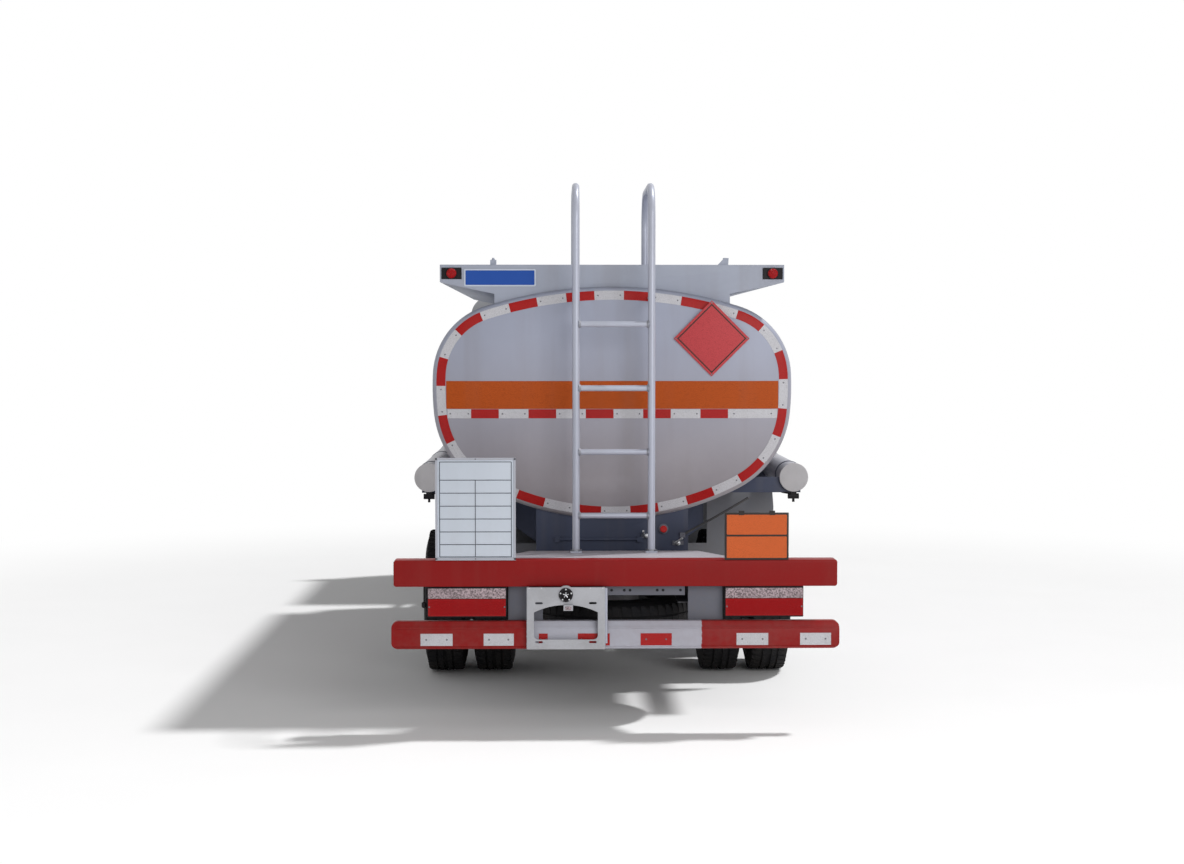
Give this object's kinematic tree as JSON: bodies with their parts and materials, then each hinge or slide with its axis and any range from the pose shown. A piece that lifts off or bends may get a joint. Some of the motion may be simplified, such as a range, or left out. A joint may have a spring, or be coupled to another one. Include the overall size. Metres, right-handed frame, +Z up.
{
  "type": "tanker truck",
  "caption": "Light tanker lorry with a rounded oval tank, rear ladder and walkway, side hose tubes, tilting cab, steered front wheels and twin rear wheels.",
  "frame": {"origin": "centre of the bounding box on the ground under the wheels", "axes": "+Y forwards along the vehicle, +X to its right, +Z up"},
  "size_m": [2.62, 7.1, 2.85],
  "materials": {
    "frame_steel": "satin blue-grey paint",
    "beam_red": "satin dark red paint",
    "deck_metal": "satin off-white paint",
    "bumper_paint": "satin red paint with a pale middle",
    "bracket_grey": "satin grey paint",
    "lamp_plastic": "gloss red lens",
    "plate_white": "satin white paint",
    "tank_skin": "satin silver-grey",
    "subframe_paint": "satin blue-grey paint",
    "tube_skin": "satin silver-grey",
    "walk_skin": "satin silver-grey",
    "ladder_steel": "satin bare steel",
    "sign_white": "matt white with a dark inner border, blank",
    "sign_orange": "matt orange with a black edge, blank",
    "neck_skin": "satin",
    "lid_skin": "satin",
    "tyre": "matt black rubber",
    "rim_paint": "satin grey paint",
    "axle_black": "satin black",
    "engine_iron": "matt grey",
    "fuel_skin": "satin black paint",
    "battery_plastic": "matt black",
    "exhaust_steel": "dull heated steel",
    "guard_alloy": "satin",
    "cabinet_alloy": "satin",
    "pipe_alloy": "satin",
    "mud_grey": "satin grey paint",
    "cab_paint": "gloss deep red paint",
    "cab_window": "clear tinted glass",
    "grille_plastic": "matt black",
    "seat_fabric": "dark woven cloth",
    "dash_plastic": "matt dark grey",
    "mirror_plastic": "matt black",
    "nose_plastic": "matt grey",
    "headlamp_glass": "clear lens"
  },
  "bodies": {
    "chassis": {"chassis_frame": "frame_steel", "rear_beam": "beam_red", "rear_deck": "deck_metal", "rear_bumper": "bumper_paint", "tail_brackets": "bracket_grey", "rear_lamps": "lamp_plastic", "plate_bracket": "plate_white", "tank_shell": "tank_skin", "tank_saddles": "subframe_paint", "hose_tubes": "tube_skin", "top_walkway": "walk_skin", "ladder": "ladder_steel", "hazard_plate": "sign_white", "safety_board": "sign_white", "orange_panel": "sign_orange", "manhole_neck": "neck_skin", "spare_tyre": "tyre", "spare_rim": "rim_paint", "leaf_springs": "axle_black", "front_axle": "axle_black", "rear_axle": "axle_black", "engine": "engine_iron", "fuel_tank": "fuel_skin", "battery_box": "battery_plastic", "silencer": "exhaust_steel", "side_guards": "guard_alloy", "discharge_cabinet": "cabinet_alloy", "discharge_pipe": "pipe_alloy", "mudguards": "mud_grey", "front_bumper": "nose_plastic", "headlamps": "headlamp_glass"},
    "cab": {"cab_shell": "cab_paint", "cab_glass": "cab_window", "grille": "grille_plastic", "seats": "seat_fabric", "dashboard": "dash_plastic", "mirrors": "mirror_plastic"},
    "cab_door_left": {"door_left": "cab_paint", "door_glass_left": "cab_window"},
    "cab_door_right": {"door_right": "cab_paint", "door_glass_right": "cab_window"},
    "steering_left": {"knuckle_left": "axle_black"},
    "steering_right": {"knuckle_right": "axle_black"},
    "steering_link": {"tie_rod": "axle_black"},
    "wheel_front_left": {"front_tyre_left": "tyre", "front_rim_left": "rim_paint"},
    "wheel_front_right": {"front_tyre_right": "tyre", "front_rim_right": "rim_paint"},
    "wheels_rear_left": {"rear_tyres_left": "tyre", "rear_rims_left": "rim_paint"},
    "wheels_rear_right": {"rear_tyres_right": "tyre", "rear_rims_right": "rim_paint"},
    "hatch": {"manhole_lid": "lid_skin"},
    "cabinet_flap": {"cabinet_door": "cabinet_alloy"}
  },
  "joints": [
    {"name": "steer_left", "type": "hinge", "parent": "chassis", "child": "steering_left", "pos_m": [-0.68, 2.4, 0.428], "axis": [0, 0, 1], "range_deg": [-35, 35]},
    {"name": "steer_right", "type": "hinge", "parent": "chassis", "child": "steering_right", "pos_m": [0.68, 2.4, 0.428], "axis": [0, 0, 1], "range_deg": [-35, 35]},
    {"name": "link_swing", "type": "hinge", "parent": "steering_left", "child": "steering_link", "pos_m": [-0.68, 2.225, 0.338], "axis": [0, 0, 1], "range_deg": [-35, 35]},
    {"name": "spin_front_left", "type": "hinge", "parent": "steering_left", "child": "wheel_front_left", "pos_m": [-0.83, 2.4, 0.428], "axis": [1, 0, 0], "continuous": true},
    {"name": "spin_front_right", "type": "hinge", "parent": "steering_right", "child": "wheel_front_right", "pos_m": [0.83, 2.4, 0.428], "axis": [1, 0, 0], "continuous": true},
    {"name": "spin_rear_left", "type": "hinge", "parent": "chassis", "child": "wheels_rear_left", "pos_m": [-0.825, -1.6, 0.428], "axis": [1, 0, 0], "continuous": true},
    {"name": "spin_rear_right", "type": "hinge", "parent": "chassis", "child": "wheels_rear_right", "pos_m": [0.825, -1.6, 0.428], "axis": [1, 0, 0], "continuous": true},
    {"name": "cab_tilt", "type": "hinge", "parent": "chassis", "child": "cab", "pos_m": [0, 3.37, 0.7], "axis": [-1, 0, 0], "range_deg": [0, 45]},
    {"name": "door_swing_left", "type": "hinge", "parent": "cab", "child": "cab_door_left", "pos_m": [-1.042, 3.117, 1.235], "axis": [0, 0, -1], "range_deg": [0, 65]},
    {"name": "door_swing_right", "type": "hinge", "parent": "cab", "child": "cab_door_right", "pos_m": [1.042, 3.117, 1.235], "axis": [0, 0, 1], "range_deg": [0, 65]},
    {"name": "hatch_swing", "type": "hinge", "parent": "chassis", "child": "hatch", "pos_m": [0, -0.732, 2.404], "axis": [-1, 0, 0], "range_deg": [0, 100]},
    {"name": "flap_swing", "type": "hinge", "parent": "chassis", "child": "cabinet_flap", "pos_m": [1.077, -0.62, 1.0335], "axis": [0, -1, 0], "range_deg": [0, 110]}
  ],
  "couplings": [
    {"joint": "steer_right", "follows": "steer_left", "ratio": 1},
    {"joint": "link_swing", "follows": "steer_left", "ratio": -1}
  ]
}
